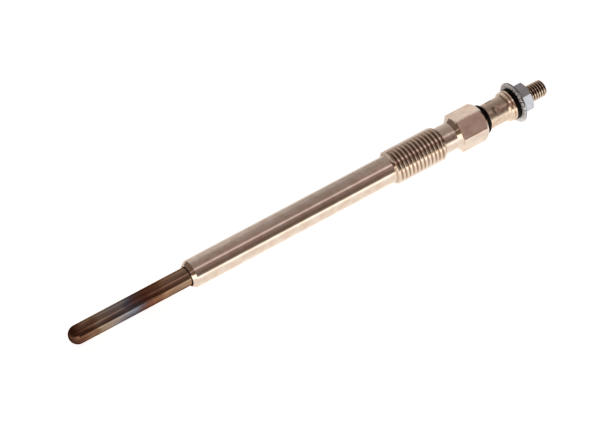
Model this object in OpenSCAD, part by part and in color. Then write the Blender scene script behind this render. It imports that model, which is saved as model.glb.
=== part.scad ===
// Diesel glow plug: a sheathed heating rod in a threaded steel body, with a
// crimped stud terminal, and a serrated flange nut on a washer.
// The plug lies along X with its glowing tip at +X. The origin is on the axis, in
// the plane where the conical seat meets the shank. All sizes are in millimetres.

/* [Body] */
// Diameter of the plain shank
shank_d = 8; // [7.4:0.1:8.6]
// Length of the shank from the seat to the thread
shank_length = 64.2; // [40:0.1:90]
// Axial length of the conical seat at the nose
seat_length = 1.2; // [0.8:0.1:1.4]
// Included angle of the conical seat
seat_angle = 63; // [50:1:70]
// Diameter of the relief round the tube at the nose
mouth_d = 6.1; // [5.8:0.1:6.3]
// Depth of the relief round the tube at the nose
mouth_depth = 0.8; // [0.4:0.1:2]
// Major diameter of the body thread
thread_d = 10; // [9:0.5:12]
// Length of the body thread
thread_length = 17; // [10:0.1:25]
// Pitch of the body thread
thread_pitch = 1.25; // [1:0.25:1.5]
// Diameter of the neck between thread and hexagon
neck_d = 8; // [7.4:0.1:8.6]
// Length of the neck
neck_length = 5.2; // [2:0.1:10]

/* [Hexagon] */
// Width across the flats
hex_af = 10; // [9.5:0.5:13]
// Length of the hexagon
hex_length = 8.8; // [7.6:0.1:14]
// Diameter of the flat left inside the end chamfer
hex_face_d = 9; // [8.8:0.1:9.4]
// Angle of the end chamfer to the end face
hex_chamfer_angle = 45; // [15:5:50]
// Turn of the hexagon about the axis
hex_turn = 13; // [0:1:59]
// Length of the cone from neck to hexagon
cone_length = 1.2; // [0.6:0.1:1.8]
// Step left between the cone and the flats
cone_step = 0.15; // [0.1:0.05:0.5]

/* [Glow tube] */
// Outside diameter of the tube
tube_d = 5.3; // [4.9:0.1:5.6]
// Wall of the tube
tube_wall = 0.55; // [0.4:0.05:0.7]
// Length of tube standing out of the nose
tube_reach = 36.8; // [28:0.2:45]
// Length of tube pressed into the body
tube_grip = 22; // [16:1:30]

/* [Heater] */
// Mean diameter of both coils
coil_d = 2.4; // [2.1:0.1:2.6]
// Wire of the heating coil
heat_wire_d = 0.4; // [0.3:0.02:0.46]
// Pitch of the heating coil
heat_pitch = 0.9; // [0.6:0.05:1.2]
// Turns of the heating coil
heat_turns = 9; // [5:1:12]
// Length of the straight lead welded into the tip
lead_length = 1.2; // [0.8:0.1:2]
// Wire of the regulating coil
reg_wire_d = 0.34; // [0.26:0.02:0.4]
// Pitch of the regulating coil
reg_pitch = 0.75; // [0.5:0.05:1]
// Turns of the regulating coil
reg_turns = 16; // [8:1:20]
// Length of rubber seal in the tube's open end
seal_length = 4; // [2:0.5:8]

/* [Centre rod] */
// Diameter of the rod inside the tube
rod_front_d = 2.6; // [2.3:0.1:3]
// Diameter of the rod behind the tube
rod_d = 3.5; // [3.1:0.1:4]
// Length of the spigot that the regulating coil is welded on
spigot_length = 2.2; // [1:0.2:4]
// Distance from the tube's end to the rod's larger diameter
rod_step = 3; // [1:0.5:10]
// Length of rod held in the terminal
rod_grip = 5.4; // [3.4:0.2:5.8]

/* [Insulation] */
// Diameter of the recess in the hexagon for bush and seal ring
recess_d = 6.6; // [6.2:0.1:7.2]
// Depth of the bush in the recess
bush_depth = 3.4; // [2:0.2:4.4]
// Diameter of the bush's outer lip
lip_d = 8.6; // [7.8:0.1:9]
// Thickness of the bush's outer lip
lip_thickness = 1.3; // [0.8:0.1:2.5]
// Radius of the lip's rounded outer edge
lip_round = 0.7; // [0.2:0.1:0.7]

/* [Terminal] */
// Diameter of the crimped barrel
barrel_d = 7.3; // [6.6:0.1:8]
// Length of the barrel
barrel_length = 6.2; // [6.1:0.1:9]
// Chamfer on the barrel's end
barrel_chamfer = 0.35; // [0.1:0.05:0.6]
// Number of crimp dimples round the barrel
dimple_count = 6; // [3:1:6]
// Diameter of a crimp dimple
dimple_d = 2.2; // [1.4:0.1:2.6]
// Depth of a crimp dimple
dimple_depth = 0.45; // [0.2:0.05:0.7]
// Distance of the dimples from the barrel's end
dimple_place = 2.9; // [1.6:0.1:4]
// Turn of the dimples about the axis
dimple_turn = 31; // [0:1:119]
// Length of the flare from barrel to collar
flare_length = 0.8; // [0.4:0.1:1.5]
// Width of the shoulder between flare and groove
shoulder_width = 0.8; // [0.4:0.1:1.5]
// Diameter of the contact collar
collar_d = 9; // [8.4:0.1:10]
// Width of the collar's rim
collar_width = 0.6; // [0.5:0.1:1.5]
// Width of the groove between shoulder and rim
groove_width = 0.25; // [0.1:0.05:0.4]
// Depth of the groove
groove_depth = 0.35; // [0.1:0.05:0.45]
// Major diameter of the stud's thread
stud_d = 5; // [4:0.5:6]
// Length of the stud from the collar
stud_length = 11.7; // [9:0.1:18]
// Chamfer on the stud's end
stud_chamfer = 0.5; // [0.3:0.1:1]

/* [Washer and nut] */
// Diameter of the washer
washer_d = 9.2; // [8.4:0.1:10.6]
// Thickness of the washer
washer_thickness = 1.3; // [0.8:0.1:2.5]
// Width across the nut's flats
nut_af = 8; // [7.5:0.5:10]
// Height of the nut
nut_height = 4.5; // [4:0.1:6.5]
// Diameter of the nut's flange
flange_d = 12; // [11:0.2:14]
// Thickness of the flange's rim
rim_height = 0.9; // [0.7:0.1:1.5]
// Rounding chamfer on the rim
rim_chamfer = 0.3; // [0.1:0.05:0.4]
// Rise of the flange's upper side towards the hexagon
flange_rise = 0.7; // [0.3:0.1:1.4]
// Angle of the chamfer on the nut's outer end
nut_chamfer_angle = 30; // [15:5:45]
// Turn of the nut about the axis
nut_turn = 39; // [0:1:59]
// Number of serrations under the flange
serration_count = 28; // [16:1:32]
// Depth of a serration
serration_depth = 0.28; // [0.1:0.02:0.34]
// Inner diameter of the serrated ring
serration_inner_d = 7.4; // [7:0.1:9]

/* [Clearances] */
// Radial gap of pressed and packed pieces
press_gap = 0.01; // [0.005:0.005:0.02]
// Radial gap of pieces slid over each other
slide_gap = 0.03; // [0.02:0.01:0.06]
// Radial gap of washer and nut on the stud's thread
thread_gap = 0.05; // [0.03:0.01:0.1]

/* [Hidden] */
$fn = 96;

// Cuts run this far past the faces they open
past = 1;

// Stations along the axis, from the seat towards the terminal
nose_at = -seat_length;
tip_at = nose_at - tube_reach;
tube_end_at = nose_at + tube_grip;
thread_at = shank_length;
neck_at = thread_at + thread_length;
hex_at = neck_at + neck_length;
hex_end_at = hex_at + hex_length;
barrel_at = hex_end_at + lip_thickness;
flare_at = barrel_at + barrel_length;
groove_at = flare_at + flare_length + shoulder_width;
rim_at = groove_at + groove_width;
collar_end_at = rim_at + collar_width;
nut_at = collar_end_at + washer_thickness;
stud_end_at = collar_end_at + stud_length;

// Ends of the body's parts: the thread begins as steep as its own flanks
seat_r = shank_d / 2 - seat_length * tan(seat_angle / 2);
bore_r = tube_d / 2 + press_gap;
thread_lead_in = (thread_d - shank_d) / 2 * tan(30);
thread_run_out = (thread_d - neck_d) / 2;
hex_corner_r = hex_af / 2 / cos(30);
cone_r = hex_af / 2 - cone_step;

// Body thread, drawn as rings a pitch apart: depth and flats of a metric thread
thread_depth = 0.613 * thread_pitch;
crest_flat = thread_pitch / 8;
root_flat = thread_pitch / 4;
thread_room = thread_length - thread_lead_in - thread_run_out - crest_flat;
thread_grooves = floor(thread_room / thread_pitch);
groove_start = thread_at + thread_lead_in + (thread_room + crest_flat - thread_grooves * thread_pitch) / 2;

// Inside of the tube
tube_centre_at = tip_at + tube_d / 2;
tube_inner_r = tube_d / 2 - tube_wall;
fill_r = tube_inner_r - press_gap;
seal_at = tube_end_at - seal_length;

// Coils: angles are in degrees about the axis, a coil's slope is its wire's angle to a plain ring, and
// the chord share is how far in a straight step of the wire passes
coil_r = coil_d / 2;
coil_sides = 6;
coil_steps = 16;
chord_share = cos(180 / coil_steps);
bend_r = 0.6;
bend_steps = 4;
heat_slope = atan(heat_pitch / (PI * coil_d));
reg_slope = atan(reg_pitch / (PI * coil_d));
lead_at = tube_centre_at - sqrt(pow(fill_r, 2) - pow(coil_r + heat_wire_d / 2, 2));
bend_at = lead_at + lead_length;
bend_turn = 90 - heat_slope;
heat_start_angle = bend_r * (1 - cos(bend_turn)) / coil_r * 180 / PI;
heat_start_at = bend_at + bend_r * sin(bend_turn);
heat_end_angle = heat_start_angle + 360 * heat_turns;
heat_end_at = heat_start_at + heat_pitch * heat_turns;
reg_end_at = heat_end_at + reg_pitch * reg_turns;
wire_d = max(heat_wire_d, reg_wire_d);

// Centre rod
spigot_r = (coil_r - reg_wire_d / 2) * chord_share - slide_gap;
rod_front_at = reg_end_at + reg_wire_d / 2 + slide_gap;
spigot_at = rod_front_at - spigot_length;
rod_step_at = tube_end_at + rod_step;
rod_end_at = barrel_at + rod_grip;
rod_end_room = 0.3;

// Seal ring between the rod and the wall of the recess, behind the bush
ring_section_d = (recess_d - rod_d) / 2 - 2 * slide_gap;
ring_mean_r = (recess_d + rod_d) / 4;
ring_at = hex_end_at - bush_depth - slide_gap - ring_section_d / 2;
recess_at = ring_at - ring_section_d / 2 - slide_gap;
recess_cone = recess_d / 2 - bore_r;

// Crimp and nut
barrel_bore_r = rod_d / 2 + slide_gap;
dimple_ball_r = (pow(dimple_depth, 2) + pow(dimple_d / 2, 2)) / (2 * dimple_depth);
nut_corner_r = nut_af / 2 / cos(30);
nut_bore_r = stud_d / 2 + thread_gap;
nut_countersink = 0.4;

// Colours of the finishes
nickel = [0.72, 0.66, 0.62];
zinc = [0.72, 0.74, 0.76];
tempered = [0.36, 0.25, 0.20];
black = [0.08, 0.08, 0.08];

// Lay a shape drawn along Z on its side, so that its stations run towards -X
module along_axis() {
    rotate([0, -90, 0]) children();
}

// Turned solid from an outline of [radius, station] points
module turned(outline) {
    rotate_extrude() polygon(outline);
}

// Plain bore from one station to another
module bore(radius, from, to) {
    translate([0, 0, from]) cylinder(r = radius, h = to - from);
}

// Hexagonal bar with its corners cut back by a cone at the far end
module chamfered_hexagon(across_flats, corner_r, from, to, face_r, angle, turn) {
    reach = corner_r + past;
    intersection() {
        translate([0, 0, from]) rotate(turn) cylinder(d = across_flats / cos(30), h = to - from, $fn = 6);
        turned([[0, from - past], [reach, from - past], [reach, to - (reach - face_r) * tan(angle)],
            [face_r, to], [0, to]]);
    }
}

// Half section of a round-nosed bar, its nose centred on the given station
module round_nosed_section(radius, centre, to) {
    translate([0, centre]) square([radius, to - centre]);
    intersection() {
        translate([0, centre]) circle(r = radius);
        translate([0, centre - radius]) square([radius, radius]);
    }
}

// One ring of points round a wire. A station is [angle about the axis, place along it, slope]
function wire_ring(station, radius) =
    let (outward = [cos(station[0]), sin(station[0]), 0],
        sideways = [-sin(station[0]) * sin(station[2]), cos(station[0]) * sin(station[2]), -cos(station[2])],
        centre = coil_r * outward + [0, 0, station[1]])
    [for (side = [0 : coil_sides - 1])
        let (turn = 360 * side / coil_sides)
        centre + radius * (cos(turn) * outward + sin(turn) * sideways)];

// Wire swept along its stations
module wire(stations, wire_d) {
    last = len(stations) - 1;
    points = [for (station = stations) each wire_ring(station, wire_d / 2)];
    first_cap = [for (side = [0 : coil_sides - 1]) side];
    last_cap = [for (side = [coil_sides - 1 : -1 : 0]) last * coil_sides + side];
    walls = [for (ring = [0 : last - 1], side = [0 : coil_sides - 1])
        let (a = ring * coil_sides + side,
            b = ring * coil_sides + (side + 1) % coil_sides)
        each [[a, a + coil_sides, b + coil_sides], [a, b + coil_sides, b]]];
    polyhedron(points, concat([first_cap], walls, [last_cap]));
}

// Stations of a coil from a start angle and place
function coil_stations(angle, place, turns, pitch, first_slope, slope) =
    [for (step = [0 : turns * coil_steps])
        let (turn = step / coil_steps)
        [angle + 360 * turn, place + pitch * turn, step == 0 ? first_slope : slope]];

// Steel body: conical seat, shank, thread, neck and cone turned on the end of a hexagon bar
module plug_body() {
    thread_r = thread_d / 2;
    root_r = thread_r - thread_depth;
    grooves = [for (groove = [0 : thread_grooves - 1])
        let (middle = groove_start + (groove + 0.5) * thread_pitch)
        each [[thread_r, middle - (thread_pitch - crest_flat) / 2], [root_r, middle - root_flat / 2],
            [root_r, middle + root_flat / 2], [thread_r, middle + (thread_pitch - crest_flat) / 2]]];
    color(nickel) along_axis() difference() {
        union() {
            turned([[0, nose_at], [seat_r, nose_at], [shank_d / 2, 0], [shank_d / 2, thread_at],
                [thread_r, thread_at + thread_lead_in], each grooves, [thread_r, neck_at - thread_run_out],
                [neck_d / 2, neck_at], [neck_d / 2, hex_at - cone_length], [cone_r, hex_at],
                [cone_r, hex_at + past], [0, hex_at + past]]);
            chamfered_hexagon(hex_af, hex_corner_r, hex_at, hex_end_at, hex_face_d / 2,
                hex_chamfer_angle, hex_turn);
        }
        bore(bore_r, nose_at - past, hex_end_at);
        bore(mouth_d / 2, nose_at - past, nose_at + mouth_depth);
        turned([[0, recess_at - recess_cone], [bore_r, recess_at - recess_cone], [recess_d / 2, recess_at],
            [recess_d / 2, hex_end_at + past], [0, hex_end_at + past]]);
    }
}

// Heat-resisting tube, closed and round at the glowing tip
module glow_tube() {
    color(tempered) along_axis() rotate_extrude() difference() {
        round_nosed_section(tube_d / 2, tube_centre_at, tube_end_at);
        round_nosed_section(tube_inner_r, tube_centre_at, tube_end_at + past);
    }
}

// Heating coil: a straight lead welded into the tip, a bend, then the turns
module heating_coil() {
    lead = [[0, lead_at, 90], [0, bend_at, 90]];
    bend = [for (step = [1 : bend_steps - 1])
        let (turn = bend_turn * step / bend_steps)
        [bend_r * (1 - cos(turn)) / coil_r * 180 / PI, bend_at + bend_r * sin(turn), 90 - turn]];
    turns = coil_stations(heat_start_angle, heat_start_at, heat_turns, heat_pitch, heat_slope, heat_slope);
    color("orangered") along_axis() wire(concat(lead, bend, turns), heat_wire_d);
}

// Regulating coil, welded end to end with the heating coil
module regulating_coil() {
    turns = coil_stations(heat_end_angle, heat_end_at, reg_turns, reg_pitch, heat_slope, reg_slope);
    color("goldenrod") along_axis() wire(turns, reg_wire_d);
}

// Packed magnesia that fills the tube, with a pocket for the coils and a hole for the lead
module magnesia_fill() {
    pocket_in = (coil_r - wire_d / 2) * chord_share - slide_gap;
    pocket_out = coil_r + wire_d / 2 + slide_gap;
    rod_hole_r = rod_front_d / 2 + press_gap;
    // The turned part's seam is a quarter turn from the lead, so that the hole doesn't cross it
    color("ivory") along_axis() difference() {
        rotate(90) rotate_extrude() difference() {
            round_nosed_section(fill_r, tube_centre_at, seal_at - slide_gap);
            translate([pocket_in, bend_at - past / 4])
                square([pocket_out - pocket_in, rod_front_at + slide_gap - bend_at + past / 4]);
            translate([0, spigot_at - slide_gap])
                square([spigot_r + slide_gap, rod_front_at - spigot_at + past]);
            translate([0, rod_front_at - slide_gap])
                square([rod_hole_r, seal_at - rod_front_at + past]);
        }
        translate([coil_r, 0, 0]) bore(heat_wire_d / 2 + press_gap, lead_at - past, bend_at);
    }
}

// Rubber seal that closes the tube round the rod
module tube_seal() {
    color("firebrick") along_axis() difference() {
        bore(tube_inner_r - press_gap, seal_at, tube_end_at);
        bore(rod_front_d / 2 + press_gap, seal_at - past, tube_end_at + past);
    }
}

// Steel rod from the coils to the terminal
module centre_rod() {
    color("slategray") along_axis()
        turned([[0, spigot_at], [spigot_r, spigot_at], [spigot_r, rod_front_at],
            [rod_front_d / 2, rod_front_at], [rod_front_d / 2, rod_step_at], [rod_d / 2, rod_step_at],
            [rod_d / 2, rod_end_at], [0, rod_end_at]]);
}

// Rubber ring that seals the rod in the recess
module o_ring() {
    color(black) along_axis() translate([0, 0, ring_at])
        rotate_extrude() translate([ring_mean_r, 0]) circle(d = ring_section_d);
}

// Insulating bush: a sleeve in the recess with a rounded lip on the hexagon's end
module insulating_bush() {
    lip_r = lip_d / 2;
    sleeve_r = recess_d / 2 - slide_gap;
    bush_at = hex_end_at - bush_depth;
    color(black) along_axis() difference() {
        union() {
            bore(sleeve_r, bush_at, hex_end_at + past / 4);
            rotate_extrude() {
                translate([0, hex_end_at]) square([lip_r, lip_thickness - lip_round]);
                translate([0, hex_end_at]) square([lip_r - lip_round, lip_thickness]);
                intersection() {
                    translate([lip_r - lip_round, barrel_at - lip_round]) circle(r = lip_round);
                    translate([lip_r - lip_round, barrel_at - lip_round]) square(lip_round);
                }
            }
        }
        bore(rod_d / 2 + slide_gap, bush_at - past, barrel_at + past);
    }
}

// Terminal turned from one bar: crimped barrel, flared collar and threaded stud
module terminal_stud() {
    barrel_r = barrel_d / 2;
    collar_r = collar_d / 2;
    stud_r = stud_d / 2;
    groove_r = collar_r - groove_depth;
    shoulder_r = collar_r - groove_depth / 2;
    color(nickel) along_axis() difference() {
        turned([[0, barrel_at], [barrel_r - barrel_chamfer, barrel_at],
            [barrel_r, barrel_at + barrel_chamfer], [barrel_r, flare_at],
            [shoulder_r, flare_at + flare_length], [shoulder_r, groove_at], [groove_r, groove_at],
            [groove_r, rim_at], [collar_r, rim_at], [collar_r, collar_end_at], [stud_r, collar_end_at],
            [stud_r, stud_end_at - stud_chamfer], [stud_r - stud_chamfer, stud_end_at], [0, stud_end_at]]);
        bore(barrel_bore_r, barrel_at - past, rod_end_at + rod_end_room);
        for (dimple = [0 : dimple_count - 1])
            rotate(dimple_turn + 360 * dimple / dimple_count)
                translate([barrel_r + dimple_ball_r - dimple_depth, 0, barrel_at + dimple_place])
                    sphere(r = dimple_ball_r);
    }
}

// Black washer between the collar and the nut
module nut_washer() {
    color(black) along_axis() difference() {
        bore(washer_d / 2, collar_end_at, nut_at);
        bore(nut_bore_r, collar_end_at - past, nut_at + past);
    }
}

// V-groove along a radius, drawn from the serrated ring outwards
module serration() {
    rise = past / 2;
    translate([serration_inner_d / 2, 0, 0]) rotate([90, 0, 90]) linear_extrude(flange_d / 2)
        polygon([[-serration_depth - rise, -rise], [serration_depth + rise, -rise], [0, serration_depth]]);
}

// Hexagon nut with a flange that is serrated underneath, run down on the washer
module flange_nut() {
    flange_r = flange_d / 2;
    color(zinc) along_axis() translate([0, 0, nut_at]) difference() {
        union() {
            turned([[0, 0], [flange_r - rim_chamfer, 0], [flange_r, rim_chamfer],
                [flange_r, rim_height - rim_chamfer], [flange_r - rim_chamfer, rim_height],
                [nut_af / 2, rim_height + flange_rise], [0, rim_height + flange_rise]]);
            chamfered_hexagon(nut_af, nut_corner_r, rim_height / 2, nut_height, nut_af / 2,
                nut_chamfer_angle, nut_turn);
        }
        bore(nut_bore_r, -past, nut_height + past);
        turned([[0, -past], [nut_bore_r + nut_countersink + past, -past], [nut_bore_r, nut_countersink],
            [0, nut_countersink]]);
        for (tooth = [0 : serration_count - 1]) rotate(360 * tooth / serration_count) serration();
    }
}

plug_body();
glow_tube();
heating_coil();
regulating_coil();
magnesia_fill();
tube_seal();
centre_rod();
o_ring();
insulating_bush();
terminal_stud();
nut_washer();
flange_nut();
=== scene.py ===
from math import cos, pi, radians, sin, tan

import bmesh
import bpy
import numpy as np
from mathutils import Matrix, Vector


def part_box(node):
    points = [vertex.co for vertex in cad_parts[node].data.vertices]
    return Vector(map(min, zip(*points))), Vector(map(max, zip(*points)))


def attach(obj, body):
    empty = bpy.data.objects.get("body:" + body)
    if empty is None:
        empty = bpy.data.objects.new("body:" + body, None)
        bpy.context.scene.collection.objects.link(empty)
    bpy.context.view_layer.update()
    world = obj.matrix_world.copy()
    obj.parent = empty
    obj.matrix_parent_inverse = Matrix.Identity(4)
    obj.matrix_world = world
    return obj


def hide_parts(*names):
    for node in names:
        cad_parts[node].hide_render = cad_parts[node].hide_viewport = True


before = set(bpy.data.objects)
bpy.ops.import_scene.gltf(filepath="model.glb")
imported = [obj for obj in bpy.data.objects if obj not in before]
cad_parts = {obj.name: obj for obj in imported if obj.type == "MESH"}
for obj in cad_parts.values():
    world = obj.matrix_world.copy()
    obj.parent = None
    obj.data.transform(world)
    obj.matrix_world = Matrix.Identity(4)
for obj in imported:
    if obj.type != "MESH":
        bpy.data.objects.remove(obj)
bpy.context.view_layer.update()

# A diesel glow plug lying on white paper. Lengths are in millimetres until a piece is finished.
# A station is a distance along the axis from the conical seat towards the terminal, that is towards -X.
MM = 0.001


def tip_end(node):
    """Station of a node's end towards the glowing tip."""
    return -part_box(node)[1].x / MM


def stud_end(node):
    """Station of a node's end towards the stud."""
    return -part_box(node)[0].x / MM


# Body: nose, shank, thread, neck and hexagon
NOSE = tip_end("plug_body")
HEX_END = stud_end("plug_body")
SHANK_R = 4.0
SEAT_R = 3.265
MOUTH_R = 3.05
MOUTH_DEPTH = 0.8
BORE_R = 2.66
THREAD = 64.2
NECK = 81.2
HEX = 86.4
HEX_FLAT_R = 5.0
HEX_FACE_R = 4.5
HEX_TURN = 13.0
HEX_CORNER_ROUND = 0.4
RECESS_R = 3.3
RECESS = HEX_END - 4.95
HEX_CHAMFER = 45.0
CONE = HEX - 1.2
CONE_R = 4.85

# Glow tube
TIP = tip_end("glow_tube")
TUBE_END = stud_end("glow_tube")
TUBE_R = 2.65
TUBE_WALL = 0.55

# Bush and terminal
BUSH = tip_end("insulating_bush")
BARREL = stud_end("insulating_bush")
SLEEVE_R = 3.27
BUSH_BORE_R = 1.78
LIP_R = 4.3
LIP_ROUND = 0.7
STUD_END = stud_end("terminal_stud")
BARREL_R = 3.65
BARREL_CHAMFER = 0.35
BARREL_BORE_R = 1.78
BARREL_BORE_DEPTH = 5.7
FLARE = BARREL + 5.9
SHOULDER = BARREL + 7.0
GROOVE = SHOULDER + 0.8
RIM = GROOVE + 0.25
COLLAR_END = RIM + 0.6
SHOULDER_R = 4.325
GROOVE_R = 4.15
COLLAR_R = 4.5
DIMPLES = 6
DIMPLE_TURN = 31.0
DIMPLE_AT = BARREL + 2.9
DIMPLE_R = 1.1
DIMPLE_DEPTH = 0.45
DIMPLE_REACH = 1.4
# A dimple's print has an edge that is soft by so much, and ends this far inside its reach
DIMPLE_SOFT = 0.03
DIMPLE_RUN_OUT = 0.1

# Washer, and flange nut measured from its serrated underside
WASHER = tip_end("nut_washer")
WASHER_R = 4.6
NUT = tip_end("flange_nut")
NUT_HEIGHT = stud_end("flange_nut") - NUT
NUT_FLAT_R = 4.0
NUT_FACE_R = 3.9
NUT_TURN = 39.0
NUT_CHAMFER = 30.0
NUT_CORNER_ROUND = 0.22
NUT_BORE_R = 2.55
NUT_BORE_CHAMFER = 0.4
FLANGE_R = 6.0
RIM_CHAMFER = 0.3
RIM_HEIGHT = 0.9
FLANGE_RISE = 0.7
TEETH = 28
TOOTH_DEPTH = 0.22
TOOTH_INNER_R = 3.7
TOOTH_RUN_IN = 0.5
# The serrated side of the rim rounds off, as (height above the underside, radius)
RIM_ROUND = [(0.0, 5.7), (0.06, 5.86), (0.16, 5.96)]

# Rolled metric threads with rounded flanks. A crest's share is the part of the pitch that its flat takes,
# and a thread leads in up a cone of so many degrees
BODY_THREAD = {"Pitch": 1.25, "Root Radius": 4.33, "Crest Radius": 4.96, "Crest Share": 0.34}
STUD_THREAD = {"Pitch": 0.8, "Root Radius": 2.01, "Crest Radius": 2.47, "Crest Share": 0.2}
STUD_TIP_R = 2.0
LEAD_IN = 60.0
ROWS_PER_PITCH = 20

# Columns of points round a turned piece, so that hexagon corners, dimples and teeth fall on columns
COLUMNS = 192
NUT_COLUMNS = 168
# Rows of points over a round tip, a quarter arc, a dimple and a tooth's flat face
TIP_ROWS = 24
ARC_ROWS = 9
DIMPLE_ROWS = 29
TOOTH_ROWS = 5

# Edges that turn by more than SHARP are rounded. Hexagon corners are those that run mostly along the axis
EDGE_ROUND = 0.08
EDGE_SEGMENTS = 3
SHARP = radians(24)
CORNER_RUN = 0.9
# Points nearer to each other than this are made one
WELD = 0.003


def colour(code):
    """Linear RGBA from an sRGB hex code."""
    parts = [int(code[i:i + 2], 16) / 255 for i in (1, 3, 5)]
    return (*[p / 12.92 if p <= 0.04045 else ((p + 0.055) / 1.055) ** 2.4 for p in parts], 1.0)


def add(tree, kind, inputs=None, stops=(), **settings):
    """Add a node, set its properties and colour stops, set or link its inputs, and return its outputs."""
    node = tree.nodes.new(kind)
    for name, value in settings.items():
        setattr(node, name, value)
    for _ in stops[2:]:
        node.color_ramp.elements.new(1.0)
    for number, (at, code) in enumerate(stops):
        node.color_ramp.elements[number].position = at
        node.color_ramp.elements[number].color = colour(code)
    for key, value in (inputs or {}).items():
        if isinstance(value, bpy.types.NodeSocket):
            tree.links.new(value, node.inputs[key])
        else:
            node.inputs[key].default_value = value
    return node.outputs


# Meshes

def ring(at, radius, turn=0.0, columns=COLUMNS):
    """Points round the axis. Station and radius are numbers, or arrays with a value for each column."""
    angle = radians(turn) + np.arange(columns) * 2 * pi / columns
    return arc(at, radius, angle)


def arc(at, radius, angle):
    """Points at the given angles about the axis, counted from +Z towards +Y."""
    at = np.broadcast_to(at, angle.shape)
    return np.stack([-at, radius * np.sin(angle), radius * np.cos(angle)], axis=1)


def skin(rows, wrap=True, loop=False):
    """Mesh of quads over rows of points. Each row may wrap round, and the last may join the first."""
    count = len(rows[0])
    pairs = [(i, i + 1) for i in range(len(rows) - 1)]
    if loop:
        pairs.append((len(rows) - 1, 0))
    columns = [(j, (j + 1) % count) for j in range(count if wrap else count - 1)]
    faces = [(a * count + j, a * count + k, b * count + k, b * count + j)
             for a, b in pairs for j, k in columns]
    mesh = bpy.data.meshes.new("skin")
    mesh.from_pydata(np.concatenate(rows).tolist(), [], faces)
    return mesh


def joined(*meshes):
    """One mesh from several that share rows of points, with its faces outwards."""
    solid = bmesh.new()
    for mesh in meshes:
        solid.from_mesh(mesh)
        bpy.data.meshes.remove(mesh)
    bmesh.ops.remove_doubles(solid, verts=solid.verts, dist=WELD)
    bmesh.ops.dissolve_degenerate(solid, edges=solid.edges, dist=WELD / 10)
    bmesh.ops.recalc_face_normals(solid, faces=solid.faces)
    mesh = bpy.data.meshes.new("joined")
    solid.to_mesh(mesh)
    solid.free()
    return mesh


def modified(mesh, kind, values=None, **settings):
    """The mesh after one modifier. A node tree's inputs are given by name and set by identifier."""
    holder = bpy.data.objects.new("holder", mesh)
    bpy.context.scene.collection.objects.link(holder)
    modifier = holder.modifiers.new(kind, kind)
    for name, value in settings.items():
        setattr(modifier, name, value)
    if values:
        for item in modifier.node_group.interface.items_tree:
            if item.name in values:
                modifier[item.identifier] = values[item.name]
    graph = bpy.context.evaluated_depsgraph_get()
    shown = holder.evaluated_get(graph)
    result = bpy.data.meshes.new_from_object(shown, preserve_all_data_layers=True, depsgraph=graph)
    bpy.data.objects.remove(holder)
    bpy.data.meshes.remove(mesh)
    return result


def softened(mesh, corner_round=EDGE_ROUND):
    """Round the sharp edges a little, and hexagon corners by a size of their own."""
    solid = bmesh.new()
    solid.from_mesh(mesh)
    weight = solid.edges.layers.float.new("bevel_weight_edge")
    for edge in solid.edges:
        if len(edge.link_faces) == 2 and edge.calc_face_angle() > SHARP:
            run = edge.verts[1].co - edge.verts[0].co
            corner = abs(run.x) > CORNER_RUN * run.length
            edge[weight] = 1.0 if corner else EDGE_ROUND / corner_round
    solid.to_mesh(mesh)
    solid.free()
    return modified(mesh, "BEVEL", limit_method="WEIGHT", width=corner_round, segments=EDGE_SEGMENTS)


def hexagon(flat_r, columns):
    """Radius of a hexagon at each column, with a corner on the first one."""
    angle = np.arange(columns) * 360 / columns
    return flat_r / np.cos(np.radians(angle % 60 - 30))


def weigh_normals(mesh):
    """Let the larger faces lead the smooth shading, so that flats next to rounded edges stay flat."""
    normals = np.zeros((len(mesh.vertices), 3))
    for face in mesh.polygons:
        normals[list(face.vertices)] += np.array(face.normal) * face.area
    normals /= np.linalg.norm(normals, axis=1, keepdims=True)
    mesh.normals_split_custom_set_from_vertices(normals.tolist())


def finish(name, node, material, mesh):
    """Make a piece of the mesh: to metres, smooth, painted, riding on the plug in its node's place."""
    mesh.transform(Matrix.Scale(MM, 4))
    mesh.shade_smooth()
    weigh_normals(mesh)
    mesh.name = name
    mesh.materials.clear()
    mesh.materials.append(material)
    piece = bpy.data.objects.new(name, mesh)
    bpy.context.scene.collection.objects.link(piece)
    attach(piece, "root")
    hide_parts(node)


# Node trees that repeat a shape or follow a helix

MATHS = "ShaderNodeMath"


def new_tree(name, inputs):
    """Geometry node tree with a mesh in and out and named inputs of the given kinds."""
    tree = bpy.data.node_groups.new(name, "GeometryNodeTree")
    tree.interface.new_socket("Geometry", in_out="OUTPUT", socket_type="NodeSocketGeometry")
    tree.interface.new_socket("Geometry", in_out="INPUT", socket_type="NodeSocketGeometry")
    for label, kind in inputs.items():
        tree.interface.new_socket(label, in_out="INPUT", socket_type="NodeSocket" + kind)
    return tree, tree.nodes.new("NodeGroupInput").outputs


def end_tree(tree, geometry, given):
    """Weld, realise and paint what a tree has made."""
    welded = add(tree, "GeometryNodeMergeByDistance", {"Geometry": geometry, "Distance": WELD})[0]
    real = add(tree, "GeometryNodeRealizeInstances", {"Geometry": welded})[0]
    painted = add(tree, "GeometryNodeSetMaterial", {"Geometry": real, "Material": given["Material"]})[0]
    add(tree, "NodeGroupOutput", {0: painted})


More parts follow.
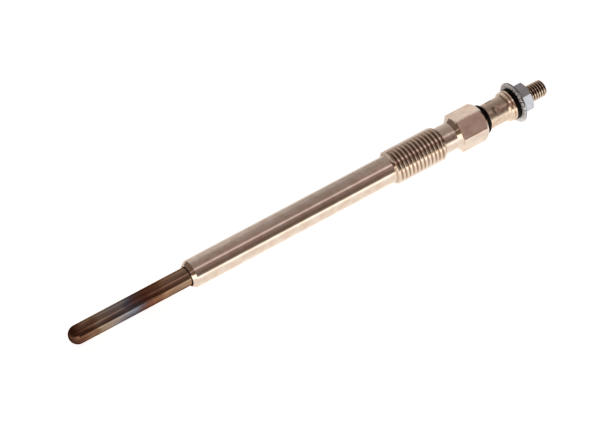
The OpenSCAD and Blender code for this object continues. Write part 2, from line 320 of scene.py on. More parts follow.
def repeat_tree():
    """Repeats a sector of a turned piece round the axis."""
    tree, given = new_tree("Repeat round the axis", {"Count": "Int", "Material": "Material"})
    step = add(tree, MATHS, {0: 2 * pi, 1: given["Count"]}, operation="DIVIDE")[0]
    index = add(tree, "GeometryNodeInputIndex")[0]
    angle = add(tree, MATHS, {0: index, 1: step}, operation="MULTIPLY")[0]
    turn = add(tree, "FunctionNodeAxisAngleToRotation", {"Axis": (-1, 0, 0), "Angle": angle})[0]
    points = add(tree, "GeometryNodeMeshLine", {"Count": given["Count"], "Offset": (0, 0, 0)})[0]
    sectors = add(tree, "GeometryNodeInstanceOnPoints",
                  {"Points": points, "Instance": given["Geometry"], "Rotation": turn})[0]
    sectors = add(tree, "GeometryNodeRealizeInstances", {"Geometry": sectors})[0]
    end_tree(tree, sectors, given)
    return tree


def thread_tree():
    """Screw thread on a round bar. Rows of points follow the helix and stop at a cone at each end."""
    tree, given = new_tree("Screw thread", {
        "Columns": "Int", "Rows per Pitch": "Int", "Pitch": "Float", "Start": "Float", "End": "Float",
        "Root Radius": "Float", "Crest Radius": "Float", "Crest Share": "Float", "Start Radius": "Float",
        "End Radius": "Float", "Start Slope": "Float", "Turn": "Float", "Material": "Material"})

    # A grid whose rows are steps along the helix and whose columns go once round the axis
    length = add(tree, MATHS, {0: given["End"], 1: given["Start"]}, operation="SUBTRACT")[0]
    pitches = add(tree, MATHS, {0: length, 1: given["Pitch"]}, operation="DIVIDE")[0]
    pitches = add(tree, MATHS, {0: pitches, 1: 1.0}, operation="ADD")[0]
    steps = add(tree, MATHS, {0: pitches, 1: given["Rows per Pitch"]}, operation="MULTIPLY")[0]
    steps = add(tree, MATHS, {0: steps}, operation="CEIL")[0]
    columns = add(tree, MATHS, {0: given["Columns"], 1: 1.0}, operation="ADD")[0]
    rows = add(tree, MATHS, {0: steps, 1: 1.0}, operation="ADD")[0]
    grid = add(tree, "GeometryNodeMeshGrid",
               {"Size X": 1.0, "Size Y": 1.0, "Vertices X": columns, "Vertices Y": rows})[0]
    place = add(tree, "ShaderNodeSeparateXYZ", {0: add(tree, "GeometryNodeInputPosition")[0]})
    across = add(tree, MATHS, {0: place[0], 1: 0.5}, operation="ADD")[0]
    row = add(tree, MATHS, {0: place[1], 1: 0.5}, operation="ADD")[0]
    row = add(tree, MATHS, {0: row, 1: steps}, operation="MULTIPLY")[0]
    row = add(tree, MATHS, {0: row}, operation="ROUND")[0]

    # Station of each point, held between the ends of the thread
    turns = add(tree, MATHS, {0: row, 1: given["Rows per Pitch"]}, operation="DIVIDE")[0]
    climb = add(tree, MATHS, {0: turns, 1: across}, operation="ADD")[0]
    climb = add(tree, MATHS, {0: climb, 1: 1.0}, operation="SUBTRACT")[0]
    at = add(tree, MATHS, {0: climb, 1: given["Pitch"], 2: given["Start"]}, operation="MULTIPLY_ADD")[0]
    at = add(tree, MATHS, {0: at, 1: given["End"]}, operation="MINIMUM")[0]
    at = add(tree, MATHS, {0: at, 1: given["Start"]}, operation="MAXIMUM")[0]

    # Radius: full at the crest's flat, then a rounded flank down to the root half a pitch away
    phase = add(tree, MATHS, {0: turns}, operation="FRACT")[0]
    from_crest = add(tree, MATHS, {0: phase, 1: 0.5}, operation="SUBTRACT")[0]
    from_crest = add(tree, MATHS, {0: from_crest}, operation="ABSOLUTE")[0]
    from_crest = add(tree, MATHS, {0: from_crest, 1: 2.0}, operation="MULTIPLY")[0]
    radius = add(tree, "ShaderNodeMapRange",
                 {"Value": from_crest, "From Min": given["Crest Share"], "From Max": 1.0,
                  "To Min": given["Crest Radius"], "To Max": given["Root Radius"]},
                 interpolation_type="SMOOTHSTEP")[0]

    # A cone at each end. The start has a slope of its own, and the end runs out at 45 degrees
    lead_in = add(tree, MATHS, {0: at, 1: given["Start"]}, operation="SUBTRACT")[0]
    lead_in = add(tree, MATHS, {0: lead_in, 1: given["Start Slope"], 2: given["Start Radius"]},
                  operation="MULTIPLY_ADD")[0]
    run_out = add(tree, MATHS, {0: given["End"], 1: at}, operation="SUBTRACT")[0]
    run_out = add(tree, MATHS, {0: run_out, 1: given["End Radius"]}, operation="ADD")[0]
    radius = add(tree, MATHS, {0: radius, 1: lead_in}, operation="MINIMUM")[0]
    radius = add(tree, MATHS, {0: radius, 1: run_out}, operation="MINIMUM")[0]

    # From station, radius and angle to a place
    angle = add(tree, MATHS, {0: across, 1: 2 * pi, 2: given["Turn"]}, operation="MULTIPLY_ADD")[0]
    sine = add(tree, MATHS, {0: angle}, operation="SINE")[0]
    cosine = add(tree, MATHS, {0: angle}, operation="COSINE")[0]
    x = add(tree, MATHS, {0: at, 1: -1.0}, operation="MULTIPLY")[0]
    y = add(tree, MATHS, {0: radius, 1: sine}, operation="MULTIPLY")[0]
    z = add(tree, MATHS, {0: radius, 1: cosine}, operation="MULTIPLY")[0]
    position = add(tree, "ShaderNodeCombineXYZ", {0: x, 1: y, 2: z})[0]
    moved = add(tree, "GeometryNodeSetPosition", {"Geometry": grid, "Position": position})[0]
    end_tree(tree, moved, given)
    return tree


REPEAT = repeat_tree()
SCREW_THREAD = thread_tree()


def repeated(sector, count, material):
    """A sector repeated round the axis into a closed ring."""
    return modified(sector, "NODES", {"Count": count, "Material": material}, node_group=REPEAT)


def thread(sizes, start, end, end_r, turn, material):
    """A stretch of thread whose first and last rings match those of the turned piece."""
    blank = bpy.data.meshes.new("blank")
    return modified(blank, "NODES", {
        **sizes, "Columns": COLUMNS, "Rows per Pitch": ROWS_PER_PITCH, "Start": start, "End": end,
        "Start Radius": end_r, "End Radius": end_r, "Start Slope": tan(radians(LEAD_IN)),
        "Turn": radians(turn), "Material": material}, node_group=SCREW_THREAD)


# Finishes

RAMP = "ShaderNodeValToRGB"
SPREAD = "ShaderNodeMapRange"
MIX = "ShaderNodeMix"
# A Mix node has sockets for numbers, vectors and colours. These are the colours that it takes and gives
MIX_A = 6
MIX_B = 7
MIX_OUT = 2
# Noise keeps mostly to the middle of its range
NOISE_RANGE = {"From Min": 0.3, "From Max": 0.7}
# Roughness that is added on the turned neck and on the nut's serrated underside
NECK_DULLNESS = 0.14
UNDERSIDE_DULLNESS = 0.6
# The underside's matt finish and its painted light reach so far up the teeth, and fade over as much again
UNDERSIDE_REACH = 0.1


def new_material(name, metallic=0.0):
    """Empty material with its node tree, shader and object coordinates."""
    material = bpy.data.materials.new(name)
    material.use_nodes = True
    tree = material.node_tree
    shader = tree.nodes["Principled BSDF"]
    shader.inputs["Metallic"].default_value = metallic
    return material, tree, shader.inputs, add(tree, "ShaderNodeTexCoord")["Object"]


def grains(tree, place, sizes, detail=3.0):
    """Noise whose grains have the given sizes in millimetres along X, Y and Z."""
    scale = [1 / (MM * size) for size in sizes]
    scaled = add(tree, "ShaderNodeMapping", {"Vector": place, "Scale": scale})[0]
    return add(tree, "ShaderNodeTexNoise", {"Vector": scaled, "Scale": 1.0, "Detail": detail})[0]


def dress(tree, shader, tint, rough, relief=None, strength=0.0, height=0.0):
    """Give a shader its tint and roughness, and a relief whose height is in millimetres."""
    tree.links.new(tint, shader["Base Color"])
    tree.links.new(rough, shader["Roughness"])
    if relief is not None:
        bump = add(tree, "ShaderNodeBump", {"Height": relief, "Strength": strength, "Distance": height * MM})
        tree.links.new(bump[0], shader["Normal"])


def stretch(tree, place, start, end):
    """One between two stations and nought elsewhere."""
    along = add(tree, "ShaderNodeSeparateXYZ", {0: place})[0]
    middle = -(start + end) / 2 * MM
    half = (end - start) / 2 * MM
    return add(tree, MATHS, {0: along, 1: middle, 2: half}, operation="COMPARE")[0]


def groove_shaded(tree, place, tint, groove_shade, sizes, start, end):
    """Tint darkened to the given colour in the grooves of a thread between two stations, as painted shade
    there.
    """
    threaded = stretch(tree, place, start, end)
    across = add(tree, "ShaderNodeVectorMath", {0: place, 1: (0.0, 1.0, 1.0)}, operation="MULTIPLY")[0]
    radius = add(tree, "ShaderNodeVectorMath", {0: across}, operation="LENGTH")[1]
    depth = add(tree, SPREAD, {"Value": radius, "From Min": sizes["Root Radius"] * MM,
                               "From Max": sizes["Crest Radius"] * MM, "To Min": 1.0, "To Max": 0.0})[0]
    share = add(tree, MATHS, {0: depth, 1: threaded}, operation="MULTIPLY")[0]
    return add(tree, MIX, {"Factor": share, MIX_A: tint, MIX_B: colour(groove_shade)}, data_type="RGBA")[MIX_OUT]


def nickel_plate():
    """Bright nickel over turned and ground steel: warm, mirror-like, with faint lines round the axis."""
    material, tree, shader, place = new_material("bright_nickel_plate", 1.0)
    # Grinding lines are a few hundredths of a millimetre apart, and are drawn coarser so that they show
    lines = grains(tree, place, (0.5, 9.0, 9.0))
    # Finger marks and thin plating, patches two or three millimetres wide
    stains = grains(tree, place, (3.0, 2.0, 2.0), 4.0)
    tint = add(tree, RAMP, {"Fac": stains}, [(0.3, "#d2c0ae"), (0.5, "#dccdbc"), (0.7, "#e4d8cb")])[0]
    # Painted shade in the grooves of the body's thread
    tint = groove_shaded(tree, place, tint, "#bca793", BODY_THREAD, THREAD, NECK)
    gloss = add(tree, SPREAD, {**NOISE_RANGE, "Value": lines, "To Min": 0.05, "To Max": 0.12})[0]
    # The neck is left as turned, so it is duller than the ground shank
    neck = stretch(tree, place, NECK, CONE)
    rough = add(tree, MATHS, {0: neck, 1: NECK_DULLNESS, 2: gloss}, operation="MULTIPLY_ADD")[0]
    dress(tree, shader, tint, rough, lines, strength=0.06, height=0.02)
    return material


def scuffed_nickel():
    """Thin nickel on the terminal: brownish, dull on the crimped barrel and bright on the stud."""
    material, tree, shader, place = new_material("scuffed_nickel_plate", 1.0)
    # Scuffs about a millimetre wide, from handling and the crimping tool
    scuffs = grains(tree, place, (0.7, 2.0, 2.0), 4.0)
    tint = add(tree, RAMP, {"Fac": scuffs}, [(0.3, "#d0bca7"), (0.7, "#e2d1bc")])[0]
    # Painted shade, dark, in the grooves of the stud's thread
    tint = groove_shaded(tree, place, tint, "#301c10", STUD_THREAD, COLLAR_END, STUD_END)
    along = add(tree, "ShaderNodeSeparateXYZ", {0: place})[0]
    dull = add(tree, SPREAD, {"Value": along, "From Min": -SHOULDER * MM, "From Max": -FLARE * MM,
                              "To Min": 0.06, "To Max": 0.27})[0]
    uneven = add(tree, SPREAD, {**NOISE_RANGE, "Value": scuffs, "To Min": 0.02, "To Max": 0.1})[0]
    rough = add(tree, MATHS, {0: dull, 1: uneven}, operation="ADD")[0]
    dress(tree, shader, tint, rough, scuffs, strength=0.1, height=0.03)
    return material


# Temper colours of the tube from the tip to the nose, as (station, colour, roughness as a grey)
TEMPER = [(-38.0, "#5d4336", "#808080"), (-34.5, "#745240", "#808080"), (-32.0, "#8a6d56", "#707070"),
          (-29.5, "#a8947d", "#5c5c5c"), (-26.5, "#aa9885", "#585858"), (-23.0, "#989494", "#585858"),
          (-20.5, "#777982", "#606060"), (-18.3, "#6d5f63", "#808080"), (-16.0, "#7a5547", "#989898"),
          (-13.0, "#825843", "#989898"), (-11.0, "#8f6d54", "#848484"), (-9.0, "#a38063", "#686868"),
          (-6.0, "#a58a74", "#606060"), (-2.0, "#a98f76", "#686868")]


def tempered_alloy():
    """Heat-resisting alloy after glowing: oxide in brown, gold, blue and red rings, dark at its edges."""
    material, tree, shader, place = new_material("heat_tinted_alloy", 1.0)
    # Drawing marks along the tube, and clouds that make the rings wander
    streaks = grains(tree, place, (9.0, 0.9, 0.9), 4.0)
    clouds = grains(tree, place, (4.0, 2.2, 2.2))
    first, last = TEMPER[0][0], TEMPER[-1][0]
    along = add(tree, "ShaderNodeSeparateXYZ", {0: place})[0]
    along = add(tree, SPREAD, {"Value": along, "From Min": -first * MM, "From Max": -last * MM})[0]
    wander = add(tree, SPREAD, {**NOISE_RANGE, "Value": clouds, "To Min": -0.06, "To Max": 0.06})[0]
    along = add(tree, MATHS, {0: along, 1: wander}, operation="ADD")[0]
    places = [(at - first) / (last - first) for at, *_ in TEMPER]
    oxide = add(tree, RAMP, {"Fac": along}, list(zip(places, [code for _, code, _ in TEMPER])))[0]
    gloss = add(tree, RAMP, {"Fac": along}, list(zip(places, [code for *_, code in TEMPER])))[0]
    shade = add(tree, RAMP, {"Fac": streaks}, [(0.3, "#c4bfbd"), (0.65, "#ffffff")])[0]
    tint = add(tree, MIX, {"Factor": 1.0, MIX_A: oxide, MIX_B: shade},
               data_type="RGBA", blend_type="MULTIPLY")[MIX_OUT]
    uneven = add(tree, SPREAD, {**NOISE_RANGE, "Value": streaks, "To Min": -0.03, "To Max": 0.03})[0]
    rough = add(tree, MATHS, {0: gloss, 1: uneven}, operation="ADD")[0]
    dress(tree, shader, tint, rough, streaks, strength=0.1, height=0.03)
    shader["Specular Tint"].default_value = colour("#8a7f78")
    return material


def zinc_plate():
    """Bright zinc on a cold-formed nut: cool and finely grained, matt on the serrated underside and painted
    pale there as painted light.
    """
    material, tree, shader, place = new_material("bright_zinc_plate", 1.0)
    # The plate's grain is finer than a hundredth of a millimetre, and is drawn coarser so that it shows
    grain = grains(tree, place, (0.4, 0.4, 0.4))
    clouds = grains(tree, place, (2.5, 2.5, 2.5))
    tint = add(tree, RAMP, {"Fac": clouds}, [(0.3, "#94979b"), (0.7, "#a6a9ae")])[0]
    along = add(tree, "ShaderNodeSeparateXYZ", {0: place})[0]
    underside_matt_and_lit = add(tree, SPREAD, {"Value": along, "From Min": -(NUT + 2 * UNDERSIDE_REACH) * MM,
                               "From Max": -(NUT + UNDERSIDE_REACH) * MM})[0]
    # Painted light: the serrated underside is painted paler
    tint = add(tree, MIX, {"Factor": underside_matt_and_lit, MIX_A: tint, MIX_B: colour("#eeeeee")},
               data_type="RGBA")[MIX_OUT]
    gloss = add(tree, SPREAD, {**NOISE_RANGE, "Value": grain, "To Min": 0.07, "To Max": 0.14})[0]
    rough = add(tree, MATHS, {0: underside_matt_and_lit, 1: UNDERSIDE_DULLNESS, 2: gloss}, operation="MULTIPLY_ADD")[0]
    dress(tree, shader, tint, rough, grain, strength=0.08, height=0.02)
    return material


def plain(name, dark, light, size, roughness, metallic=0.0):
    """Plain finish: two near colours in soft grains of one size, with uneven gloss."""
    material, tree, shader, place = new_material(name, metallic)
    grain = grains(tree, place, (size, size, size))
    tint = add(tree, RAMP, {"Fac": grain}, [(0.35, dark), (0.65, light)])[0]
    rough = add(tree, SPREAD,
                {**NOISE_RANGE, "Value": grain, "To Min": roughness[0], "To Max": roughness[1]})[0]
    dress(tree, shader, tint, rough)
    return material


def black_phenolic():
    """Moulded black phenolic, matt and dusty, so that it mirrors hardly anything."""
    material = plain("moulded_black_phenolic", "#060404", "#0b0808", 0.6, (0.5, 0.62))
    material.node_tree.nodes["Principled BSDF"].inputs["Specular IOR Level"].default_value = 0.1
    return material


NICKEL = nickel_plate()
SCUFFED = scuffed_nickel()
TEMPERED = tempered_alloy()
ZINC = zinc_plate()
PHENOLIC = black_phenolic()
# Finishes of the inner pieces, by node
FINISHES = {
    # Wire that has glowed: grey-brown and half matt
    "heating_coil": plain("oxidised_resistance_wire", "#4a4440", "#6b645e", 0.3, (0.4, 0.55), 1.0),
    # Wire as drawn: grey with a soft gloss
    "regulating_coil": plain("drawn_resistance_wire", "#7c7670", "#96908a", 0.3, (0.3, 0.45), 1.0),
    # Powder packed by swaging the tube: off-white and chalky
    "magnesia_fill": plain("packed_magnesia", "#ddd8cd", "#efebe2", 0.25, (0.8, 0.95)),
    # Moulded rubber: dark brown and dull
    "tube_seal": plain("moulded_seal_rubber", "#241d1b", "#332a27", 0.4, (0.55, 0.7)),
    # Cold-drawn bar: plain grey with a satin gloss
    "centre_rod": plain("drawn_rod_steel", "#7d7d7f", "#98989a", 0.5, (0.25, 0.4), 1.0),
    # Moulded rubber: near black, a little glossier
    "o_ring": plain("moulded_ring_rubber", "#121212", "#1d1d1d", 0.4, (0.45, 0.6)),
}


# Pieces

def plug_body():
    """Nose with its conical seat, shank, thread, neck and hexagon, round a stepped bore."""
    hex_r = hexagon(HEX_FLAT_R, COLUMNS)
    hex_chamfer = HEX_END - (hex_r - HEX_FACE_R) * tan(radians(HEX_CHAMFER))
    # From the neck over the hexagon, through the bore, and back along the outside to the thread
    outline = [(NECK, SHANK_R), (CONE, SHANK_R), (HEX, CONE_R), (HEX, hex_r), (hex_chamfer, hex_r),
               (HEX_END, HEX_FACE_R), (HEX_END, RECESS_R), (RECESS, RECESS_R),
               (RECESS - RECESS_R + BORE_R, BORE_R), (NOSE + MOUTH_DEPTH, BORE_R),
               (NOSE + MOUTH_DEPTH, MOUTH_R), (NOSE, MOUTH_R), (NOSE, SEAT_R), (0.0, SHANK_R),
               (THREAD, SHANK_R)]
    turned = softened(skin([ring(at, r, HEX_TURN) for at, r in outline]), HEX_CORNER_ROUND)
    screw = thread(BODY_THREAD, THREAD, NECK, SHANK_R, HEX_TURN, NICKEL)
    finish("plug_body_skin", "plug_body", NICKEL, joined(turned, screw))


def round_nose(radius, centre):
    """Rings of a hemisphere from its pole to its widest."""
    return [(centre - radius * cos(a), radius * sin(a)) for a in np.linspace(0, pi / 2, TIP_ROWS)]


def glow_tube():
    """Tube with a closed round tip and an even wall."""
    centre = TIP + TUBE_R
    inner_r = TUBE_R - TUBE_WALL
    outside = round_nose(TUBE_R, centre) + [(0.0, TUBE_R), (TUBE_END, TUBE_R)]
    inside = round_nose(inner_r, centre) + [(TUBE_END, inner_r)]
    rows = [ring(at, r) for at, r in outside + inside[::-1]]
    finish("glow_tube_skin", "glow_tube", TEMPERED, joined(skin(rows)))


def insulating_bush():
    """Sleeve with a round-edged lip."""
    edge = [(BARREL - LIP_ROUND + LIP_ROUND * sin(a), LIP_R - LIP_ROUND + LIP_ROUND * cos(a))
            for a in np.linspace(0, pi / 2, ARC_ROWS)]
    outline = [(BUSH, BUSH_BORE_R), (BUSH, SLEEVE_R), (HEX_END, SLEEVE_R), (HEX_END, LIP_R), *edge,
               (BARREL, BUSH_BORE_R)]
    whole = joined(skin([ring(at, r) for at, r in outline], loop=True))
    finish("insulating_bush_skin", "insulating_bush", PHENOLIC, whole)


def dimpled_sector():
    """A sixth of the barrel's middle with one crimp dimple, a ball's print with a soft edge."""
    half = pi / DIMPLES
    angle = np.linspace(-half, half, COLUMNS // DIMPLES + 1)
    ball_r = (DIMPLE_DEPTH ** 2 + DIMPLE_R ** 2) / (2 * DIMPLE_DEPTH)
    rows = []
    for offset in np.linspace(-DIMPLE_REACH, DIMPLE_REACH, DIMPLE_ROWS):
        away = np.minimum(np.hypot(angle * BARREL_R, offset), ball_r)
        depth = np.sqrt(ball_r ** 2 - away ** 2) - (ball_r - DIMPLE_DEPTH)
        depth = (depth + np.sqrt(depth ** 2 + DIMPLE_SOFT ** 2)) / 2
        depth[away > DIMPLE_REACH - DIMPLE_RUN_OUT] = 0.0
        rows.append(arc(DIMPLE_AT + offset, BARREL_R - depth, radians(DIMPLE_TURN) + angle))
    return skin(rows, wrap=False)


def terminal_stud():
    """Crimped barrel, flared collar with a groove, and threaded stud."""
    turn = DIMPLE_TURN
    flare = [(FLARE + (SHOULDER - FLARE) * sin(a), BARREL_R + (SHOULDER_R - BARREL_R) * (1 - cos(a)))
             for a in np.linspace(0, pi / 2, ARC_ROWS)]
    front = [(DIMPLE_AT - DIMPLE_REACH, BARREL_R), (BARREL + BARREL_CHAMFER, BARREL_R),
             (BARREL, BARREL_R - BARREL_CHAMFER), (BARREL, BARREL_BORE_R),
             (BARREL + BARREL_BORE_DEPTH, BARREL_BORE_R), (BARREL + BARREL_BORE_DEPTH, 0.0)]
    middle = [(DIMPLE_AT + DIMPLE_REACH, BARREL_R), *flare, (GROOVE, SHOULDER_R), (GROOVE, GROOVE_R),
              (RIM, GROOVE_R), (RIM, COLLAR_R), (COLLAR_END, COLLAR_R), (COLLAR_END, STUD_TIP_R)]
    end = [(STUD_END, STUD_TIP_R), (STUD_END, 0.0)]
    turned = [softened(joined(skin([ring(at, r, turn) for at, r in rows]))) for rows in (front, middle)]
    cap = skin([ring(at, r, turn) for at, r in end])
    dimples = repeated(dimpled_sector(), DIMPLES, SCUFFED)
    screw = thread(STUD_THREAD, COLLAR_END, STUD_END, STUD_TIP_R, turn, SCUFFED)
    whole = joined(*turned, cap, dimples, screw)
    finish("terminal_stud_skin", "terminal_stud", SCUFFED, whole)


def nut_washer():
    """Black ring between the collar and the nut, which fills the dark band under the flange."""
    outline = [(WASHER, NUT_BORE_R), (WASHER, WASHER_R), (NUT, WASHER_R), (NUT, NUT_BORE_R)]
    whole = joined(skin([ring(at, r) for at, r in outline], loop=True))
    # Its black fills the dark band seen under the nut's flange
    finish("nut_washer_skin", "nut_washer", PHENOLIC, softened(whole))


def tooth_sector():
    """One serration: a V groove along a radius between two lands, from the bore's edge to the rim."""
    half = pi / TEETH
    turn = radians(NUT_TURN)
    even = turn + np.linspace(-half, half, NUT_COLUMNS // TEETH + 1)
    rows = [arc(NUT, NUT_BORE_R + NUT_BORE_CHAMFER, even)]
    face = [(0.0, radius) for radius in np.linspace(TOOTH_INNER_R, RIM_ROUND[0][1], TOOTH_ROWS)]
    for height, radius in face + RIM_ROUND[1:]:
        # The groove's flanks slope at 45 degrees, so to each side it is as wide as it is deep
        edge = TOOTH_DEPTH / radius
        angle = turn + np.array([-half, -(half + edge) / 2, -edge, 0.0, edge, (half + edge) / 2, half])
        depth = TOOTH_DEPTH * min(1.0, (radius - TOOTH_INNER_R) / TOOTH_RUN_IN)
        groove = np.array([0.0, 0.0, 0.0, depth, 0.0, 0.0, 0.0])
        rows.append(arc(NUT + height + groove, radius, angle))
    rows.append(arc(NUT + RIM_HEIGHT - RIM_CHAMFER, FLANGE_R, even))
    return skin(rows, wrap=False)


def flange_nut():
    """Hexagon on a sloping flange, serrated underneath, with chamfered corners and bore."""
    hex_r = hexagon(NUT_FLAT_R, NUT_COLUMNS)
    flange_r = FLANGE_R - RIM_CHAMFER
    slope = FLANGE_RISE / (flange_r - NUT_FLAT_R)
    foot = NUT + RIM_HEIGHT + FLANGE_RISE - (hex_r - NUT_FLAT_R) * slope
    end = NUT + NUT_HEIGHT
    hex_chamfer = end - (hex_r - NUT_FACE_R) * tan(radians(NUT_CHAMFER))
    mouth_r = NUT_BORE_R + NUT_BORE_CHAMFER
    rows = [(NUT + RIM_HEIGHT - RIM_CHAMFER, FLANGE_R), (NUT + RIM_HEIGHT, flange_r), (foot, hex_r),
            (hex_chamfer, hex_r), (end, NUT_FACE_R), (end, mouth_r), (end - NUT_BORE_CHAMFER, NUT_BORE_R),
            (NUT + NUT_BORE_CHAMFER, NUT_BORE_R), (NUT, mouth_r)]
    top = skin([ring(at, r, NUT_TURN, NUT_COLUMNS) for at, r in rows])
    teeth = repeated(tooth_sector(), TEETH, ZINC)
    whole = softened(joined(top, teeth), NUT_CORNER_ROUND)
    finish("flange_nut_skin", "flange_nut", ZINC, whole)


plug_body()
glow_tube()
insulating_bush()
terminal_stud()
nut_washer()
flange_nut()
for node, finish_material in FINISHES.items():
    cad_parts[node].material_slots[0].material = finish_material


# Paper, surroundings and camera

# How bright the studio is against the colours written below
LIGHT_LEVEL = 3.2

# The plug rests on the shank's lower edge at the seat and on the nut's flange, at these X and Z
REST_FRONT = (0.0, -SHANK_R)
REST_BACK = (-(NUT + RIM_HEIGHT / 2), -FLANGE_R)
PAPER_SIZE = 20000.0
# Light that the paper adds for the eye alone, so that it looks white
PAPER_GLOW = 0.85
# In reflections the paper glows with painted light, grey behind the plug and brightest towards the camera,
# where the lamps stand.
# As (part of the way from this far behind the plug to as far in front, grey)
PAPER_REACH = 100.0
PAPER_MIRRORED = [(0.42, "#717171"), (0.47, "#8b8b8b"), (0.6, "#8b8b8b"), (0.67, "#a8a8a8"),
                  (0.78, "#b6b6b6")]


def paper():
    """White paper that stays white to the eye, shows in reflections, and keeps the plug's soft shadow."""
    material, tree, shader, place = new_material("matt_white_paper")
    fibres = grains(tree, place, (0.6, 0.6, 0.6))
    tint = add(tree, RAMP, {"Fac": fibres}, [(0.3, "#f4f2ef"), (0.7, "#f8f6f4")])[0]
    tree.links.new(tint, shader["Base Color"])
    shader["Roughness"].default_value = 0.9
    shader["Specular IOR Level"].default_value = 0.0
    rays = add(tree, "ShaderNodeLightPath")
    front = add(tree, "ShaderNodeSeparateXYZ", {0: place})[1]
    reach = PAPER_REACH * MM
    front = add(tree, SPREAD, {"Value": front, "From Min": -reach, "From Max": reach})[0]
    # Painted light on the paper, seen only in reflections
    mirrored = add(tree, RAMP, {"Fac": front}, PAPER_MIRRORED)[0]
    mirrored = add(tree, MATHS, {0: mirrored, 1: rays["Is Glossy Ray"]}, operation="MULTIPLY")[0]
    mirrored = add(tree, MATHS, {0: mirrored, 1: LIGHT_LEVEL}, operation="MULTIPLY")[0]
    seen = add(tree, MATHS, {0: rays["Is Camera Ray"], 1: rays["Is Transmission Ray"]}, operation="ADD")[0]
    glow = add(tree, MATHS, {0: seen, 1: PAPER_GLOW, 2: mirrored}, operation="MULTIPLY_ADD")[0]
    tree.links.new(glow, shader["Emission Strength"])
    shader["Emission Color"].default_value = (1.0, 1.0, 1.0, 1.0)

    run = (REST_FRONT[0] - REST_BACK[0], REST_FRONT[1] - REST_BACK[1])
    half = PAPER_SIZE / 2 * MM
    along = Vector((run[0], 0.0, run[1])).normalized() * half
    across = Vector((0.0, 1.0, 0.0)) * half
    centre = Vector((REST_FRONT[0], 0.0, REST_FRONT[1])) * MM
    corners = [centre + along * a + across * b for a, b in ((-1, -1), (1, -1), (1, 1), (-1, 1))]
    mesh = bpy.data.meshes.new("paper")
    mesh.from_pydata(corners, [], [(0, 1, 2, 3)])
    mesh.materials.append(material)
    sheet = bpy.data.objects.new("paper", mesh)
    bpy.context.scene.collection.objects.link(sheet)


# Light from round the axis, as (degrees from the camera's horizon over the top to the far horizon, colour)
AROUND = [(0, "#d8d4ce"), (2, "#d8d4ce"), (6, "#86827b"), (12, "#625955"), (22, "#544641"), (38, "#665855"),
          (50, "#6f615f"), (58, "#736361"), (61, "#aea2a3"), (73, "#aea2a3"), (77, "#7a6e6c"),
          (90, "#756967"), (115, "#7c7371"), (130, "#837979"), (145, "#938d8d"), (168, "#98928f"),
          (180, "#8d8889")]
# Share of it that comes from along the axis, as (part of the way from the stud's side to the tip's, grey),
# over the camera's side and over the far side, and the degrees between which one turns into the other
ALONG = [(0.262, "#5e5e5e"), (0.284, "#ffffff"), (0.302, "#ffffff"), (0.312, "#d8d8d8"), (0.324, "#c0c0c0"),
         (0.345, "#d2d2d2"), (0.36, "#b8b8b8")]
ALONG_FAR = [(0.262, "#5e5e5e"), (0.284, "#ffffff"), (0.301, "#ffffff"), (0.308, "#b4b4b4"),
             (0.324, "#b8b8b8"), (0.345, "#dcdcdc"), (0.362, "#bcbcbc")]
FAR_FROM = 105
FAR_TO = 140
# Light from beyond the tip, by the same degrees: a lamp low in front, and dark above it.
# It takes over between these lean values of a direction, where 0 is square to the axis and 1 along it
BEYOND_TIP = [(0, "#c8c2ba"), (22, "#c8c2ba"), (30, "#5c524c"), (40, "#463932"), (60, "#43362f"),
              (63, "#6c605b"), (71, "#6c605b"), (75, "#43362f"), (180, "#48403c")]
TIP_FROM = 0.0
TIP_TO = 0.3


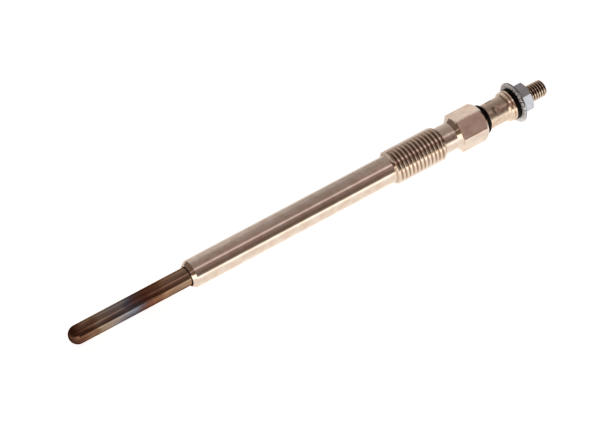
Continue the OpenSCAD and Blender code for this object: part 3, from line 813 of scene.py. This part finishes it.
def surroundings():
    """Studio light: bright low in front, dark towards the camera, a strip overhead, dark past the ends."""
    world = bpy.data.worlds.new("studio")
    bpy.context.scene.world = world
    world.use_nodes = True
    tree = world.node_tree
    way = add(tree, "ShaderNodeSeparateXYZ", {0: add(tree, "ShaderNodeTexCoord")["Generated"]})
    angle = add(tree, MATHS, {0: way[2], 1: way[1]}, operation="ARCTAN2")[0]
    share = add(tree, MATHS, {0: angle, 1: pi}, operation="DIVIDE")[0]
    around = add(tree, RAMP, {"Fac": share}, [(degrees / 180, code) for degrees, code in AROUND])[0]
    length = add(tree, SPREAD, {"Value": way[0], "From Min": -1.0, "From Max": 1.0})[0]
    near = add(tree, RAMP, {"Fac": length}, ALONG)[0]
    far = add(tree, RAMP, {"Fac": length}, ALONG_FAR)[0]
    side = add(tree, SPREAD, {"Value": share, "From Min": FAR_FROM / 180, "From Max": FAR_TO / 180})[0]
    along = add(tree, MIX, {"Factor": side, MIX_A: near, MIX_B: far}, data_type="RGBA")[MIX_OUT]
    light = add(tree, MIX, {"Factor": 1.0, MIX_A: around, MIX_B: along},
                data_type="RGBA", blend_type="MULTIPLY")[MIX_OUT]
    beyond = add(tree, RAMP, {"Fac": share}, [(degrees / 180, code) for degrees, code in BEYOND_TIP])[0]
    towards_tip = add(tree, SPREAD, {"Value": way[0], "From Min": TIP_FROM, "From Max": TIP_TO})[0]
    light = add(tree, MIX, {"Factor": towards_tip, MIX_A: light, MIX_B: beyond}, data_type="RGBA")[MIX_OUT]
    background = tree.nodes["Background"].inputs
    tree.links.new(light, background["Color"])
    background["Strength"].default_value = LIGHT_LEVEL


# The photograph's frame: where a point of the axis is seen, the axis's slope, and pixels per millimetre
FRAME_WIDTH = 600
FRAME_HEIGHT = 427
AXIS_POINT = 37.1
AXIS_PIXEL = (306.4, 212.7)
AXIS_SLOPE = 28.0
PIXELS_PER_MM = 3.69
CAMERA_DISTANCE = 800.0
CAMERA_LEAN = 20.0
CAMERA_HEIGHT = 49.5
SENSOR = 36.0


def camera():
    """Camera that leans towards the tip and looks down on the plug, rolled to give the axis its slope."""
    lean, height, slope = radians(CAMERA_LEAN), radians(CAMERA_HEIGHT), radians(AXIS_SLOPE)
    back = Vector((sin(lean), cos(lean) * cos(height), cos(lean) * sin(height)))
    to_stud = Vector((-1.0, 0.0, 0.0))
    along = (to_stud - to_stud.dot(back) * back).normalized()
    across = back.cross(along)
    right = cos(slope) * along - sin(slope) * across
    up = sin(slope) * along + cos(slope) * across
    off_right = (AXIS_PIXEL[0] - FRAME_WIDTH / 2) / PIXELS_PER_MM
    off_up = (FRAME_HEIGHT / 2 - AXIS_PIXEL[1]) / PIXELS_PER_MM
    aim = Vector((-AXIS_POINT, 0.0, 0.0)) - off_right * right - off_up * up
    lens = bpy.data.cameras.new("camera")
    lens.sensor_width = SENSOR
    lens.lens = PIXELS_PER_MM * CAMERA_DISTANCE / FRAME_WIDTH * SENSOR
    view = bpy.data.objects.new("camera", lens)
    turned = Matrix((right, up, back)).transposed().to_4x4()
    view.matrix_world = Matrix.Translation((aim + CAMERA_DISTANCE * back) * MM) @ turned
    bpy.context.scene.collection.objects.link(view)
    bpy.context.scene.camera = view


paper()
surroundings()
camera()
bpy.context.scene.view_settings.view_transform = "Standard"
